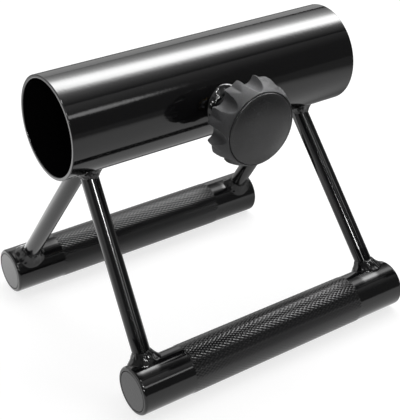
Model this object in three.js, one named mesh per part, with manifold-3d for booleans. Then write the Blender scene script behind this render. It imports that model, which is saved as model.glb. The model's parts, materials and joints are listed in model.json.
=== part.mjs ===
// Clamp-on row handle for the loading sleeve of a barbell.
// Two knurled grips lie parallel under a round sleeve tube. Four round struts carry the tube,
// one crossed pair at each end, and every strut is filleted to what it meets by a weld bead.
// A knob with a threaded stud runs through a nut welded on the front of the tube and clamps the bar.
// As on the piece in the photo, the screw points a little below level.
// Units are millimetres. +X runs along the tube, -Y faces the knob, +Z is up. The grips stand on z = 0.

import * as THREE from 'three';
import { mergeVertices } from 'three/addons/utils/BufferGeometryUtils.js';
import Module from 'manifold-3d';

// Clearances
const seat_gap = 0.3;            // between two pieces that are fitted or welded together
const thread_gap = 0.3;          // round the stud, in the nut and in the insert

// Sleeve tube
const sleeve_diameter = 57;
const sleeve_wall = 2;
const sleeve_length = 186;
const sleeve_edge_bevel = 0.4;
const sleeve_rise = 126;         // tube axis above the grip axes

// Grips
const grip_diameter = 27.6;
const grip_wall = 2.2;
const grip_length = 182;
const grip_spacing = 144;        // between the two grip axes
const grip_edge_radius = 2;
const knurl_length = 118;
const knurl_rise = 0.2;          // crests of the knurl above the plain bar
const knurl_run_out = 0.6;
const plug_length = 12;
const plug_face_bevel = 0.3;

// Struts
const strut_diameter = 10;
const strut_inset_low = 10.8;    // from the grip's end to the strut's centre line
const strut_inset_high = 21;     // from the tube's end to the strut's centre line
const strut_foot_offset = 2.4;   // the centre line passes this far outside the grip's axis
const strut_cross_depth = 3.7;   // the two centre lines cross this far above the tube's underside
const grip_weld_leg = 5;
const sleeve_weld_leg = 4.6;
const weld_hollow_share = 0.12;  // how far a bead's face is drawn in towards its root

// Clamp screw and its nut
const screw_offset = 0.8;        // along the tube, from its middle
const screw_dip = 3;             // degrees that the screw points below level
const stud_diameter = 10;
const stud_reach = 17.3;         // from the knob's rear face to the stud's tip
const stud_tip_bevel = 1;
const stud_hole_gap = 0.5;       // round the stud, in the tube's wall
const nut_flats = 16;
const nut_height = 8.8;
const nut_bevel = 0.9;
const nut_weld_width = 3.1;      // beyond the nut's corners
const nut_weld_height = 3.2;
const knob_stand_off = 7.7;      // from the nut to the knob's rear face, backed off

// Knob
const knob_diameter = 49.8;
const knob_height = 14.8;
const knob_rear_radius = 24.8;
const knob_rim_radius = 21;
const knob_rim_round = 0.35;
const knob_rear_round = 0.7;
const flute_count = 8;
const flute_radius = 5.05;       // at the rear face, where a flute is widest
const flute_depth = 4.6;
const flute_taper_length = 22;   // over which the flute's cutter narrows to a point
const flute_phase = 92.5;        // degrees, from +X towards +Z
const cap_radius = 20.3;
const cap_seat_depth = 2;
const cap_proud = 0.6;           // the cap's shoulder above the knob's rim
const cap_dome = 3;
const cap_edge_round = 0.9;
const cap_groove = 0.3;
const insert_flats = 14;
const insert_length = 10;
const hub_radius = 10.4;
const rim_wall = 2.6;            // between the deepest point of a flute and the cored ring
const rear_wall = 3.4;
const stud_root_gap = 1.1;       // from the stud's end to the insert's end
const crest_height_share = 0.1;  // height of the knob's widest place

// Facets round a full turn
const sleeve_facets = 72;
const grip_facets = 40;
const plug_facets = 30;
const strut_facets = 28;
const weld_facets = 28;
const nut_weld_facets = 36;
const knob_facets = 56;
const cap_facets = 40;
const stud_facets = 24;
const flute_facets = 20;
const round_steps = 3;
const taper_steps = 8;
const barrel_steps = 4;
const cap_rings = 5;

// Values that follow from the sizes above
const sleeve_radius = sleeve_diameter / 2;
const bore_radius = sleeve_radius - sleeve_wall;
const grip_radius = grip_diameter / 2;
const knurl_radius = grip_radius + knurl_rise;
const strut_radius = strut_diameter / 2;
const stud_radius = stud_diameter / 2;
const grip_axis_z = knurl_radius;
const sleeve_axis_z = grip_axis_z + sleeve_rise;
const screw_lean = THREE.MathUtils.degToRad(screw_dip);
const half_seat = seat_gap / 2;
const overrun = sleeve_diameter;

const wasm = await Module();
wasm.setup();

// Finishes
function finish(color, roughness, metalness) {
  return () => new THREE.MeshStandardMaterial({ color, roughness, metalness });
}
const gloss_black_paint = finish(0x0c0c0d, 0.16, 0);
const plug_plastic = finish(0x4a4a4b, 0.55, 0);
const knob_plastic = finish(0x2a2a2b, 0.6, 0);
const cap_plastic = finish(0x262627, 0.55, 0);
const zinc_steel = finish(0xa9abad, 0.35, 1);
const brass = finish(0xb08d4f, 0.35, 1);

// A closed three.js geometry as a solid that can be cut.
function toSolid(geometry) {
  const bare = geometry.clone();
  bare.deleteAttribute('normal');
  bare.deleteAttribute('uv');
  const merged = mergeVertices(bare);
  const corners = merged.index.array;
  const kept = [];
  for (let i = 0; i < corners.length; i += 3) {
    const [a, b, c] = [corners[i], corners[i + 1], corners[i + 2]];
    if (a !== b && b !== c && c !== a) kept.push(a, b, c);
  }
  return new wasm.Manifold(new wasm.Mesh({
    numProp: 3,
    vertProperties: new Float32Array(merged.attributes.position.array),
    triVerts: new Uint32Array(kept),
  }));
}

// A solid back as a three.js geometry.
function toGeometry(solid) {
  const mesh = solid.getMesh();
  const geometry = new THREE.BufferGeometry();
  geometry.setAttribute('position', new THREE.BufferAttribute(mesh.vertProperties, 3));
  geometry.setIndex(new THREE.BufferAttribute(mesh.triVerts, 1));
  geometry.computeVertexNormals();
  return geometry;
}

function named(name, geometry, material) {
  const mesh = new THREE.Mesh(geometry, material());
  mesh.name = name;
  return mesh;
}

// The points of a profile's rounded corner, on an arc between two angles.
function roundCorner(centre_r, centre_h, radius, from_degrees, to_degrees) {
  const points = [];
  for (let i = 0; i <= round_steps; i += 1) {
    const angle = THREE.MathUtils.degToRad(from_degrees + (to_degrees - from_degrees) * i / round_steps);
    points.push(new THREE.Vector2(centre_r + radius * Math.cos(angle), centre_h + radius * Math.sin(angle)));
  }
  return points;
}

// A profile turned about +Y. Each point is a radius and a height.
function turned(points, facets) {
  const profile = points.map((p) => (p.isVector2 ? p : new THREE.Vector2(p[0], p[1])));
  return new THREE.LatheGeometry(profile, facets);
}

// The same, with its axis laid along +X.
function turnedAlongX(points, facets) {
  return turned(points, facets).rotateZ(-Math.PI / 2);
}

// A plain round bar along +X, used to cut what has to clear it.
function barAlongX(radius, length, y, z) {
  const bar = new THREE.CylinderGeometry(radius, radius, length, sleeve_facets);
  return toSolid(bar.rotateZ(-Math.PI / 2).translate(0, y, z));
}

// The sleeve tube, with the clearance hole that the stud passes through.
function sleeveTube() {
  const half = sleeve_length / 2;
  const edge = half - sleeve_edge_bevel;
  const outer = sleeve_radius - sleeve_edge_bevel;
  const inner = bore_radius + sleeve_edge_bevel;
  const wall = turnedAlongX([
    [bore_radius, -edge], [inner, -half], [outer, -half], [sleeve_radius, -edge],
    [sleeve_radius, edge], [outer, half], [inner, half], [bore_radius, edge],
    [bore_radius, -edge],
  ], sleeve_facets).translate(0, 0, sleeve_axis_z);
  const hole_radius = stud_radius + stud_hole_gap;
  const drill = new THREE.CylinderGeometry(hole_radius, hole_radius, sleeve_radius, stud_facets);
  drill.translate(0, -sleeve_radius, 0).rotateX(screw_lean).translate(screw_offset, 0, sleeve_axis_z);
  return toGeometry(toSolid(wall).subtract(toSolid(drill)));
}

// A grip: a tube with rounded ends and a knurled band, its crests taken as one cylinder.
function gripTube() {
  const half = grip_length / 2;
  const band = knurl_length / 2;
  const inner = grip_radius - grip_wall;
  const round_r = grip_radius - grip_edge_radius;
  const round_h = half - grip_edge_radius;
  return turnedAlongX([
    [inner, -half],
    ...roundCorner(round_r, -round_h, grip_edge_radius, -90, 0),
    [grip_radius, -band - knurl_run_out],
    [knurl_radius, -band],
    [knurl_radius, band],
    [grip_radius, band + knurl_run_out],
    ...roundCorner(round_r, round_h, grip_edge_radius, 0, 90),
    [inner, half],
    [inner, -half],
  ], grip_facets);
}

// The plug that closes a grip's end, flush with it.
function gripPlug() {
  const radius = grip_radius - grip_wall - seat_gap;
  return turnedAlongX([
    [0, 0], [radius - plug_face_bevel, 0], [radius, plug_face_bevel],
    [radius, plug_length], [0, plug_length],
  ], plug_facets);
}

// A strut's centre line, from the height of the grip's axis to where it crosses the other strut's.
function strutLine(end, side) {
  const foot = new THREE.Vector3(
    end * (grip_length / 2 - strut_inset_low),
    side * (grip_spacing / 2 + strut_foot_offset),
    grip_axis_z,
  );
  const head = new THREE.Vector3(
    end * (sleeve_length / 2 - strut_inset_high),
    0,
    sleeve_axis_z - sleeve_radius + strut_cross_depth,
  );
  return { foot, head, up: head.clone().sub(foot).normalize() };
}

// Everything on one side of the upright plane between the front and the rear strut of a pair.
function halfSpace(side) {
  const block = new THREE.BoxGeometry(1, 1, 1);
  const reach = sleeve_length + grip_length;
  block.scale(reach, reach, reach);
  return toSolid(block.translate(0, side * (reach / 2 + half_seat), 0));
}

// A strut, coped to the grip and to the tube.
function strut(end, side) {
  const { foot, head, up } = strutLine(end, side);
  const top = head.clone().addScaledVector(up, strut_diameter);
  const middle = foot.clone().lerp(top, 1 / 2);
  const bar = new THREE.CylinderGeometry(strut_radius, strut_radius, foot.distanceTo(top), strut_facets);
  bar.applyQuaternion(new THREE.Quaternion().setFromUnitVectors(new THREE.Vector3(0, 1, 0), up));
  bar.translate(middle.x, middle.y, middle.z);
  const grip_y = side * grip_spacing / 2;
  return toGeometry(
    toSolid(bar)
      .intersect(halfSpace(side))
      .subtract(barAlongX(grip_radius + seat_gap, grip_length + overrun, grip_y, grip_axis_z))
      .subtract(barAlongX(sleeve_radius + seat_gap, sleeve_length + overrun, 0, sleeve_axis_z)),
  );
}

// A ring from a section that is worked out at each angle, closed on itself.
function ring(section, facets) {
  const positions = [];
  const index = [];
  let size = 0;
  for (let i = 0; i < facets; i += 1) {
    const points = section(2 * Math.PI * i / facets);
    size = points.length;
    for (const point of points) positions.push(point.x, point.y, point.z);
  }
  for (let i = 0; i < facets; i += 1) {
    const here = i * size;
    const next = ((i + 1) % facets) * size;
    for (let k = 0; k < size; k += 1) {
      const other = (k + 1) % size;
      index.push(here + k, here + other, next + k, here + other, next + other, next + k);
    }
  }
  const geometry = new THREE.BufferGeometry();
  geometry.setAttribute('position', new THREE.Float32BufferAttribute(positions, 3));
  geometry.setIndex(index);
  return geometry;
}

// A fillet weld round a bar that stands on a tube lying along X.
// out is the bar's direction away from the tube, and reach its outline's radius at an angle.
function filletWeld({ point, out, reach, tube_y, tube_z, tube_radius, bar_leg, tube_leg, facets }) {
  const across = new THREE.Vector3(1, 0, 0).addScaledVector(out, -out.x).normalize();
  const along = new THREE.Vector3().crossVectors(out, across);
  const skin = tube_radius + seat_gap;
  const awayFromAxis = (p) => new THREE.Vector3(0, p.y - tube_y, p.z - tube_z).normalize();
  const onSkin = (p) => new THREE.Vector3(p.x, tube_y, tube_z).addScaledVector(awayFromAxis(p), skin);
  return ring((angle) => {
    const radial = across.clone().multiplyScalar(Math.cos(angle)).addScaledVector(along, Math.sin(angle));
    const start = point.clone().addScaledVector(radial, reach(angle));
    const a = out.y ** 2 + out.z ** 2;
    const b = (start.y - tube_y) * out.y + (start.z - tube_z) * out.z;
    const c = (start.y - tube_y) ** 2 + (start.z - tube_z) ** 2 - skin ** 2;
    const root = start.addScaledVector(out, (Math.sqrt(b ** 2 - a * c) - b) / a);
    const normal = awayFromAxis(root);
    const tangent = radial.clone().addScaledVector(normal, -radial.dot(normal)).normalize();
    const on_bar = root.clone().addScaledVector(out, bar_leg(angle));
    const on_tube = onSkin(root.clone().addScaledVector(tangent, tube_leg(angle)));
    const under = onSkin(root.clone().lerp(on_tube, 1 / 2));
    const face = on_bar.clone().lerp(on_tube, 1 / 2).lerp(root, weld_hollow_share);
    return [root, on_bar, face, on_tube, under];
  }, facets);
}

// The bead that joins a strut to its grip.
function gripWeld(end, side) {
  const { foot, up } = strutLine(end, side);
  return toGeometry(toSolid(filletWeld({
    point: foot,
    out: up,
    reach: () => strut_radius + seat_gap,
    tube_y: side * grip_spacing / 2,
    tube_z: grip_axis_z,
    tube_radius: grip_radius,
    bar_leg: () => grip_weld_leg,
    tube_leg: () => grip_weld_leg,
    facets: weld_facets,
  })));
}

// The bead that joins a strut to the tube, up to the plane where the other strut's bead begins.
function sleeveWeld(end, side) {
  const { head, up } = strutLine(end, side);
  const bead = toSolid(filletWeld({
    point: head,
    out: up.clone().negate(),
    reach: () => strut_radius + seat_gap,
    tube_y: 0,
    tube_z: sleeve_axis_z,
    tube_radius: sleeve_radius,
    bar_leg: () => sleeve_weld_leg,
    tube_leg: () => sleeve_weld_leg,
    facets: weld_facets,
  }));
  return toGeometry(bead.intersect(halfSpace(side)));
}

// Radius of a hexagon's outline at an angle from one of its corners.
function hexagonReach(flats, angle) {
  const sixth = Math.PI / 3;
  const turn = ((angle % sixth) + sixth) % sixth;
  return flats / 2 / Math.cos(turn - sixth / 2);
}

// A hexagonal prism along +Y between two heights, with a corner on +Z.
function hexagonPrism(flats, bottom, top) {
  const corner = hexagonReach(flats, 0);
  return new THREE.CylinderGeometry(corner, corner, top - bottom, 6).translate(0, (bottom + top) / 2, 0);
}

// The nut, with the corners of its outer face turned off. Its height runs along +Y.
function clampNut() {
  const corner = hexagonReach(nut_flats, 0);
  const blank = turned([
    [0, 0], [corner, 0], [corner, nut_height - nut_bevel / 2],
    [corner - nut_bevel, nut_height], [0, nut_height],
  ], cap_facets);
  const bore_r = stud_radius + thread_gap;
  const bore = new THREE.CylinderGeometry(bore_r, bore_r, 2 * overrun, stud_facets);
  return toGeometry(
    toSolid(hexagonPrism(nut_flats, 0, nut_height)).intersect(toSolid(blank)).subtract(toSolid(bore)),
  );
}

// The bead round the nut's foot.
function nutWeld() {
  const toe = hexagonReach(nut_flats, 0) + seat_gap + nut_weld_width;
  const reach = (angle) => hexagonReach(nut_flats + 2 * seat_gap, angle + Math.PI / 2);
  return toGeometry(toSolid(filletWeld({
    point: new THREE.Vector3(screw_offset, 0, sleeve_axis_z),
    out: new THREE.Vector3(0, -Math.cos(screw_lean), -Math.sin(screw_lean)),
    reach,
    tube_y: 0,
    tube_z: sleeve_axis_z,
    tube_radius: sleeve_radius,
    bar_leg: () => nut_weld_height,
    tube_leg: (angle) => toe - reach(angle),
    facets: nut_weld_facets,
  })));
}

// The stud, from its tip up into the knob. Heights are measured from the knob's rear face.
function clampStud() {
  const tip = -stud_reach;
  const root = insert_length - stud_root_gap;
  return turned([
    [0, tip], [stud_radius - stud_tip_bevel, tip], [stud_radius, tip + stud_tip_bevel],
    [stud_radius, root], [0, root],
  ], stud_facets);
}

// The threaded insert that holds the stud in the knob.
function knobInsert() {
  const bore_r = stud_radius + thread_gap;
  const bore = new THREE.CylinderGeometry(bore_r, bore_r, 2 * overrun, stud_facets);
  return toGeometry(toSolid(hexagonPrism(insert_flats, 0, insert_length)).subtract(toSolid(bore)));
}

// The knob's barrel, from its widest place forward to the rim.
function barrelPoints(crest) {
  const low = knob_height * crest_height_share;
  const high = knob_height - knob_rim_round;
  const points = [];
  for (let i = 0; i < barrel_steps; i += 1) {
    const share = i / barrel_steps;
    points.push([crest - (crest - knob_rim_radius) * share ** 2, low + (high - low) * share]);
  }
  return points;
}

// One flute's cutter: a round bar along the knob that narrows as an ellipse towards the rim.
function fluteCutter() {
  const points = [[0, -overrun], [flute_radius, -overrun]];
  for (let i = 0; i < taper_steps; i += 1) {
    const angle = Math.PI / 2 * i / taper_steps;
    points.push([flute_radius * Math.cos(angle), flute_taper_length * Math.sin(angle)]);
  }
  points.push([0, flute_taper_length]);
  return turned(points, flute_facets);
}

// The knob: a fluted shell with a hub for the insert, cored out under its cap.
function knobBody() {
  const crest = knob_diameter / 2;
  const seat = knob_height - cap_seat_depth;
  const recess = cap_radius + cap_groove;
  const core = crest - flute_depth - rim_wall;
  const shell = turned([
    [0, 0],
    ...roundCorner(knob_rear_radius - knob_rear_round, knob_rear_round, knob_rear_round, -90, 0),
    ...barrelPoints(crest),
    ...roundCorner(knob_rim_radius - knob_rim_round, knob_height - knob_rim_round, knob_rim_round, 0, 90),
    [recess, knob_height],
    [recess, seat],
    [core, seat],
    [core, rear_wall],
    [hub_radius, rear_wall],
    [hub_radius, seat],
    [0, seat],
  ], knob_facets);
  const pocket = hexagonPrism(insert_flats + 2 * seat_gap, -overrun, insert_length + seat_gap);
  let solid = toSolid(shell).subtract(toSolid(pocket));
  const from_axis = crest - flute_depth + flute_radius;
  for (let i = 0; i < flute_count; i += 1) {
    const angle = THREE.MathUtils.degToRad(flute_phase) + 2 * Math.PI * i / flute_count;
    const cutter = fluteCutter().translate(from_axis * Math.cos(angle), 0, -from_axis * Math.sin(angle));
    solid = solid.subtract(toSolid(cutter));
  }
  return toGeometry(solid);
}

// The domed cap in the knob's front.
function knobCap() {
  const seat = knob_height - cap_seat_depth + seat_gap;
  const dome_radius = cap_radius - cap_edge_round;
  const shoulder = knob_height + cap_proud;
  const dome_points = [];
  for (let i = 1; i <= cap_rings; i += 1) {
    const share = 1 - i / cap_rings;
    dome_points.push([dome_radius * share, shoulder + cap_dome * (1 - share ** 2)]);
  }
  return turned([
    [0, seat],
    [cap_radius, seat],
    ...roundCorner(dome_radius, shoulder - cap_edge_round, cap_edge_round, 0, 90),
    ...dome_points,
  ], cap_facets);
}

const handle = new THREE.Group();
const ends = { left: -1, right: 1 };
const sides = { front: -1, rear: 1 };

handle.add(named('sleeve_tube', sleeveTube(), gloss_black_paint));

for (const [side_name, side] of Object.entries(sides)) {
  const grip = new THREE.Group();
  grip.position.set(0, side * grip_spacing / 2, grip_axis_z);
  grip.add(named(`grip_${side_name}`, gripTube(), gloss_black_paint));
  for (const [end_name, end] of Object.entries(ends)) {
    const plug = named(`grip_plug_${side_name}_${end_name}`, gripPlug(), plug_plastic);
    plug.position.x = end * grip_length / 2;
    plug.rotation.z = end > 0 ? Math.PI : 0;
    grip.add(plug);
  }
  handle.add(grip);
  for (const [end_name, end] of Object.entries(ends)) {
    handle.add(named(`strut_${side_name}_${end_name}`, strut(end, side), gloss_black_paint));
    handle.add(named(`grip_weld_${side_name}_${end_name}`, gripWeld(end, side), gloss_black_paint));
    handle.add(named(`sleeve_weld_${side_name}_${end_name}`, sleeveWeld(end, side), gloss_black_paint));
  }
}

handle.add(named('nut_weld', nutWeld(), gloss_black_paint));

// The clamp's own frame: its +Y is the screw's axis, out of the tube towards the hand.
const clamp = new THREE.Group();
clamp.position.set(screw_offset, 0, sleeve_axis_z);
clamp.rotation.x = Math.PI + screw_lean;

const nut = named('clamp_nut', clampNut(), gloss_black_paint);
nut.position.y = sleeve_radius + seat_gap;
clamp.add(nut);

const screw = new THREE.Group();
screw.position.y = sleeve_radius + seat_gap + nut_height + knob_stand_off;
screw.add(named('clamp_stud', clampStud(), zinc_steel));
screw.add(named('knob_insert', knobInsert(), brass));
screw.add(named('knob_body', knobBody(), knob_plastic));
screw.add(named('knob_cap', knobCap(), cap_plastic));
clamp.add(screw);
handle.add(clamp);

export default handle;
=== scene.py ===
# %% [markdown]
# This lesson builds a row handle that clamps on the loading sleeve of a barbell: a painted steel
# tube on four struts, two knurled grips, the weld beads between them, and a clamp screw with a
# fluted plastic knob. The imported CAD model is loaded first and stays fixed. It says where every
# piece is and what it moves with.

# %% Load the frame
import json
from functools import partial
from math import cos, hypot, pi, radians, sin, sqrt, tan, tau

import bmesh
import bpy
import numpy as np
from mathutils import Matrix, Vector


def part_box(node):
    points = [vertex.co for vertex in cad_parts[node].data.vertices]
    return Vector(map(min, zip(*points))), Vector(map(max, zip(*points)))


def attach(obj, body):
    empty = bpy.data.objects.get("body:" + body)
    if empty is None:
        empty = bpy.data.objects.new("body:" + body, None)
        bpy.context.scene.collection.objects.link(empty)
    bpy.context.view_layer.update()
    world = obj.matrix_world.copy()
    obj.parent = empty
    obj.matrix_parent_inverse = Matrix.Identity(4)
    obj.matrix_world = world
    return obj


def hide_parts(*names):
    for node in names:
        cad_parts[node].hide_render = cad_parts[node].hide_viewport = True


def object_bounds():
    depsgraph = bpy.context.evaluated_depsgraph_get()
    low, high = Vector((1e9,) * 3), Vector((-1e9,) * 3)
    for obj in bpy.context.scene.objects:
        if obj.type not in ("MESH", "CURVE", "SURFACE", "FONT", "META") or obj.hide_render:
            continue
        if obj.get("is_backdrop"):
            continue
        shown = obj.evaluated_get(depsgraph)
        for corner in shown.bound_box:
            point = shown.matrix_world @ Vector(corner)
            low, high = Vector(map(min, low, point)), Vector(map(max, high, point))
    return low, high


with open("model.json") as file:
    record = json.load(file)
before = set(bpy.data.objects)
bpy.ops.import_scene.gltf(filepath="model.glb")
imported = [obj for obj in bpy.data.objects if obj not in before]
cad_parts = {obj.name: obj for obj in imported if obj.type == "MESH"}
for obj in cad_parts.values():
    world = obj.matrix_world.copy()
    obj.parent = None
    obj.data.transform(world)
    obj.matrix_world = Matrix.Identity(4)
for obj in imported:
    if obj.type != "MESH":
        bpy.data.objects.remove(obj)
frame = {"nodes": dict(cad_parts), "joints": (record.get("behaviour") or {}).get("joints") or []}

cad_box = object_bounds()


def new_object(name, data):
    thing = bpy.data.objects.new(name, data)
    bpy.context.scene.collection.objects.link(thing)
    return thing


# %% [markdown]
# Sizes are in millimetres, as on a drawing, and Blender works in metres. The places are read off
# the frame's own boxes, so a piece can't drift away from the part that carries it.

# %% Places of the pieces
MM = 0.001
SIDES = [("front", -1), ("rear", 1)]
CORNERS = [("front_left", -1, -1), ("front_right", -1, 1), ("rear_left", 1, -1), ("rear_right", 1, 1)]
TUBE_WALL, GRIP_WALL, KNURL_PROUD = 2.0, 2.2, 0.2


def box_mm(node):
    low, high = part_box(node)
    return low / MM, high / MM


tube_low, tube_high = box_mm("sleeve_tube")
TUBE_RADIUS = (tube_high.z - tube_low.z) / 2
TUBE_Z = (tube_high.z + tube_low.z) / 2
TUBE_HALF = tube_high.x

grip_low, grip_high = box_mm("grip_front")
KNURL_RADIUS = (grip_high.z - grip_low.z) / 2
GRIP_RADIUS = KNURL_RADIUS - KNURL_PROUD
GRIP_Z = (grip_high.z + grip_low.z) / 2
GRIP_Y = -(grip_high.y + grip_low.y) / 2
GRIP_HALF = grip_high.x

print(f"tube r {TUBE_RADIUS:.2f} at z {TUBE_Z:.2f}, grips r {GRIP_RADIUS:.2f} at y {GRIP_Y:.2f}")

# %% [markdown]
# The clamp screw points a little below level, so the boxes of its pieces say little. Its axis is
# its joint's, and each piece is measured along that, out from the middle of the tube. Things on
# the screw are turned about local Z, and a matrix lays that along the screw, local Y upwards.

# %% Places along the screw
joints = {joint["name"]: joint for joint in frame["joints"]}
SCREW_AXIS = Vector(joints["clamp_travel"]["axis"]).normalized()
SCREW_X = joints["knob_turn"]["pos_m"][0] / MM
SCREW_ROOT = Vector((SCREW_X, 0, TUBE_Z))


def along_screw(node):
    """How far out along the screw a node begins and ends."""
    reach = [(v.co / MM - SCREW_ROOT).dot(SCREW_AXIS) for v in frame["nodes"][node].data.vertices]
    return min(reach), max(reach)


NUT_FOOT, NUT_FACE = along_screw("clamp_nut")
STUD_TIP, STUD_ROOT = along_screw("clamp_stud")
KNOB_REAR, KNOB_RIM = along_screw("knob_body")
KNOB_HEIGHT = KNOB_RIM - KNOB_REAR
on_screw = Matrix(((1, 0, 0, SCREW_X), (0, SCREW_AXIS.z, SCREW_AXIS.y, 0),
                   (0, -SCREW_AXIS.y, SCREW_AXIS.z, TUBE_Z), (0, 0, 0, 1)))
on_knob = on_screw @ Matrix.Translation((0, 0, KNOB_REAR))
print(f"screw at x {SCREW_X:.2f}: nut {NUT_FOOT:.2f} to {NUT_FACE:.2f},",
      f"knob {KNOB_REAR:.2f} to {KNOB_RIM:.2f}")

# %% [markdown]
# The camera comes first, because every later choice is judged through it. Its place was worked
# out from the outlines in the photograph: a long lens about 0.7 m away, 30 degrees above the
# piece at its front left.

# %% Camera
CAMERA_AT = Vector((-320.21, -466.67, 381.81)) * MM
YAW, PITCH, ROLL = (radians(a) for a in (34.73, 29.55, 0.36))
FOCAL_PIXELS, LONG_SIDE_PIXELS, SENSOR_MM = 1094.76, 420, 36.0

# Yaw turns from +Y towards +X, pitch looks down, and roll is about the line of sight.
ahead = Vector((sin(YAW) * cos(PITCH), cos(YAW) * cos(PITCH), -sin(PITCH)))
right = Vector((cos(YAW), -sin(YAW), 0))
down = ahead.cross(right)
rolled_right = right * cos(ROLL) + down * sin(ROLL)
rolled_down = down * cos(ROLL) - right * sin(ROLL)
turn = Matrix((rolled_right, -rolled_down, -ahead)).transposed()

camera_data = bpy.data.cameras.new("photo_camera")
camera_data.sensor_fit = "AUTO"
camera_data.sensor_width = SENSOR_MM
camera_data.lens = SENSOR_MM * FOCAL_PIXELS / LONG_SIDE_PIXELS
camera_data.clip_start, camera_data.clip_end = 0.01, 50
camera = new_object("photo_camera", camera_data)
camera.matrix_world = Matrix.Translation(CAMERA_AT) @ turn.to_4x4()
bpy.context.scene.camera = camera
print(f"camera: {camera_data.lens:.1f} mm lens, {CAMERA_AT.length:.2f} m from the origin")

# %% [markdown]
# Materials and Geometry Nodes are both trees of nodes. One function adds a node, sets its options
# and fills its inputs: another node's output is linked, and any other value is set on the socket.
# Each cell calls it add, with its own tree filled in. A second function turns a hex colour, as a
# paint chart gives it, into Blender's linear light.

# %% Node and colour helpers
VECTOR, MIX = "ShaderNodeVectorMath", "ShaderNodeMix"
RANGE, SMOOTH = "ShaderNodeMapRange", {"interpolation_type": "SMOOTHSTEP"}
NOISE, BUMP, OUTPUT = "ShaderNodeTexNoise", "ShaderNodeBump", "ShaderNodeOutputMaterial"
SPLIT, JOIN = "ShaderNodeSeparateXYZ", "ShaderNodeCombineXYZ"


def add_node(tree, kind, *inputs, out=0, **options):
    """Fills inputs in order, past each None, or by name from a dictionary. A kind in capitals is
    an operation of the Math node. Gives back one output, or with out=None the node."""
    if kind.isupper():
        kind, options = "ShaderNodeMath", {"operation": kind}
    node = tree.nodes.new(kind)
    for key, value in options.items():
        setattr(node, key, value)
    values = {}
    for place, value in enumerate(inputs):
        values.update(value if isinstance(value, dict) else {place: value})
    for key, value in values.items():
        if isinstance(value, bpy.types.NodeSocket):
            tree.links.new(value, node.inputs[key])
        elif value is not None:
            node.inputs[key].default_value = value
    return node.outputs[out] if node.outputs and out is not None else node


def linear(hex_colour):
    shares = [int(hex_colour[i:i + 2], 16) / 255 for i in (1, 3, 5)]
    return [s / 12.92 if s <= 0.04045 else ((s + 0.055) / 1.055) ** 2.4 for s in shares] + [1.0]


def new_material(name):
    """An empty material, what adds nodes to it, and the place that its patterns are drawn by."""
    material = bpy.data.materials.new(name)
    material.use_nodes = True
    material.node_tree.nodes.clear()
    add = partial(add_node, material.node_tree)
    return material, add, add("ShaderNodeTexCoord", out="Object")


bpy.context.scene.view_settings.view_transform = "Standard"

# %% [markdown]
# The studio is a white sweep under one wide soft light, with a dark room on the camera's side.
# Glossy black paint shows mostly the studio: the light as a white band, the dark room as black,
# and the table as a grey band underneath. To the camera the world is white. For mirrored rays it
# is a gradient read back from the photograph's highlights: pale behind and to the left, dark to the
# front and right. Six small lit cards, near the camera and overhead, give the struts their thin
# bright lines and the beads and rims their white specks.

# %% World
def toward(azimuth, elevation):
    """A direction: azimuth turns from +Y towards +X, elevation goes up from level."""
    a, e = radians(azimuth), radians(elevation)
    return sin(a) * cos(e), cos(a) * cos(e), sin(e)


world = bpy.data.worlds.new("studio")
world.use_nodes = True
bpy.context.scene.world = world
world.node_tree.nodes.clear()
add = partial(add_node, world.node_tree)
direction = add("ShaderNodeTexCoord", out="Generated")
height = add(SPLIT, direction, out="Z")

# The heights where a change starts and ends, and the level below and above it.
BACK_LEVEL, FRONT_LEVEL = (-0.15, 0.85, 0.38, 1.88), (0.45, 0.95, 0.13, 0.8)
BACK_AZIMUTH, BACK_EDGE = -25, (-0.05, 0.40)
back = add(RANGE, height, *BACK_LEVEL)
front = add(RANGE, height, *FRONT_LEVEL, **SMOOTH)
facing = add(VECTOR, direction, toward(BACK_AZIMUTH, 0), out="Value", operation="DOT_PRODUCT")
share = add(RANGE, facing, *BACK_EDGE, **SMOOTH)
mirrored = add(MIX, share, None, front, back)

# A card is its azimuth and elevation, the angles of its outer and inner edge, and its level.
CARDS = [(-176, 45, 14, 4, 2.4), (149, 32, 4.5, 1.5, 3.6), (-176, 43, 4.0, 2.5, 60),
         (-150, 24, 3.4, 2.6, 60), (170, 70, 4.5, 3, 90), (106, 46, 3.6, 2.6, 70)]
for azimuth, elevation, outer, inner, level in CARDS:
    facing = add(VECTOR, direction, toward(azimuth, elevation), out="Value", operation="DOT_PRODUCT")
    edges = [cos(radians(angle)) for angle in (outer, inner)]
    card = add(RANGE, facing, *edges, 0.0, level, **SMOOTH)
    mirrored = add("ADD", mirrored, card)
FILL_LEVEL, CAMERA_LEVEL = 0.5, 1.0
ray = add("ShaderNodeLightPath", out=None).outputs
sharp = add("MAXIMUM", ray["Is Glossy Ray"], ray["Is Transmission Ray"])
level = add(MIX, sharp, None, FILL_LEVEL, mirrored)
level = add(MIX, ray["Is Camera Ray"], None, level, CAMERA_LEVEL)
sky = add("ShaderNodeBackground", linear("#ffffff"), level)
add("ShaderNodeOutputWorld", sky)

# %% [markdown]
# The soft light is a long box overhead, a little behind the tube and to the right. An area light
# gives its even light, and a cloth panel at the same place is what the paint mirrors. It is a
# little skew to the tube, fades towards its edges as a real soft box does, and lights nothing.

# %% Lights
LIGHT_AT, LIGHT_AIM, LIGHT_LONG, LIGHT_WIDE, LIGHT_WATTS = (0.35, 0.25, 1.0), (0, 0, 0.07), 1.6, 0.6, 9.0


def stage_plane(name, low, high, z, material, mirrored_only=True):
    mesh = bpy.data.meshes.new(name)
    corners = [(low[0], low[1], z), (high[0], low[1], z), (high[0], high[1], z), (low[0], high[1], z)]
    mesh.from_pydata(corners, [], [(0, 1, 2, 3)])
    mesh.materials.append(material)
    plane = new_object(name, mesh)
    plane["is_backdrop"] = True
    if mirrored_only:
        plane.visible_camera = plane.visible_diffuse = plane.visible_shadow = False


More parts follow.
